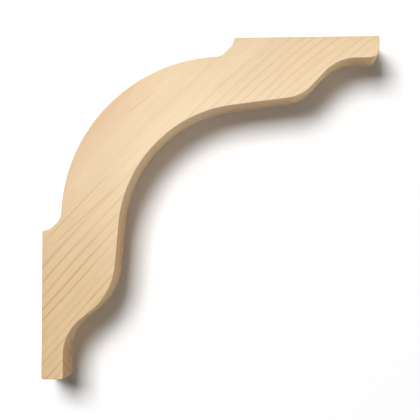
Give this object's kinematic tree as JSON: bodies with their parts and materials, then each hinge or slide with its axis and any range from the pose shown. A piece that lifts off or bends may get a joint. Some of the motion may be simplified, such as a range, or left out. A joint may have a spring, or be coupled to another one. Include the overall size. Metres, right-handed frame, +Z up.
{
  "type": "corbel bracket",
  "caption": "Flat wooden corbel bracket, sawn in one piece: an arm for the wall, an arm for the shelf, a rounded back and an arched underside with a swell and a hollow near each tip.",
  "frame": {"origin": "centre of the flat face that lies on the wall, on the bracket's middle plane", "axes": "+Z up, square to the shelf face; -X into the wall, so the shelf arm reaches out along +X; Y across the thickness"},
  "size_m": [0.251, 0.038, 0.2541],
  "materials": {
    "wood": "bare planed and sawn softwood, fine sanded, straight diagonal grain"
  },
  "bodies": {
    "root": {"bracket": "wood"}
  },
  "joints": []
}
